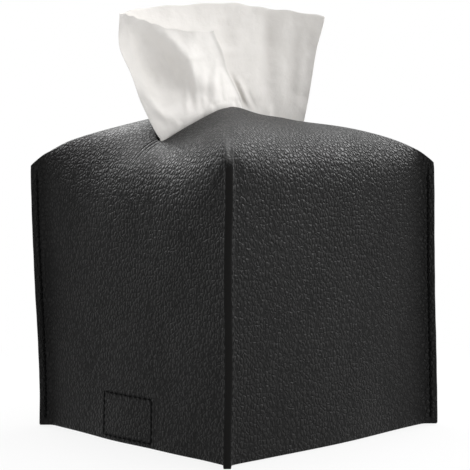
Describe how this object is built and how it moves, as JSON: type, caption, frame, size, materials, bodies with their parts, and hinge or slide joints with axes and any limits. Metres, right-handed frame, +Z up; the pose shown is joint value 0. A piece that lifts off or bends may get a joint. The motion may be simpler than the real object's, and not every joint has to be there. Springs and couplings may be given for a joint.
{
  "type": "tissue box cover",
  "caption": "Soft leather cube cover with stitched corner fins and a domed slotted top, over a carton with a tissue pulled up and a strap closing underneath.",
  "frame": {"origin": "centre of the foot of the walls, on the surface the cover stands on", "axes": "+Z up, -Y towards the wall with the stitched rectangle that holds the long strap, the slot runs along Y"},
  "size_m": [0.1364, 0.1364, 0.201],
  "materials": {
    "leather": "satin",
    "lining": "matte",
    "thread": "satin",
    "edge_coat": "satin",
    "strap": "matte",
    "hook": "matte",
    "loop": "matte",
    "carton_board": "matte",
    "film": "gloss",
    "tissue_stack": "matte",
    "tissue": "matte"
  },
  "bodies": {
    "cover": {"leather_skin": "leather", "fabric_lining": "lining", "seam_front_right": "thread", "seam_back_right": "thread", "seam_back_left": "thread", "seam_front_left": "thread", "edge_coat_front_right": "edge_coat", "edge_coat_back_right": "edge_coat", "edge_coat_back_left": "edge_coat", "edge_coat_front_left": "edge_coat", "strap_sewn_end": "strap", "front_box_stitch": "thread", "tab_sewn_end": "strap", "back_box_stitch": "thread", "tissue_carton": "carton_board", "slit_film": "film", "tissue_stack": "tissue_stack"},
    "long_strap": {"long_strap": "strap", "hook_pad": "hook", "hook_pad_stitches": "thread"},
    "short_tab": {"short_tab": "strap", "loop_pad": "loop", "loop_pad_stitches": "thread"},
    "pulled_tissue": {"pulled_tissue": "tissue"}
  },
  "joints": [
    {"name": "strap_opens", "type": "hinge", "parent": "cover", "child": "long_strap", "pos_m": [0, -0.06217, 0.0009], "axis": [-1, 0, 0], "range_deg": [0, 90]},
    {"name": "tab_opens", "type": "hinge", "parent": "cover", "child": "short_tab", "pos_m": [0, 0.06208, 0.0039], "axis": [1, 0, 0], "range_deg": [0, 90]},
    {"name": "tissue_pulls_up", "type": "slide", "parent": "cover", "child": "pulled_tissue", "axis": [0, 0, 1], "range_m": [0, 0.06]}
  ],
  "couplings": [
    {"joint": "tab_opens", "follows": "strap_opens", "ratio": 1}
  ]
}
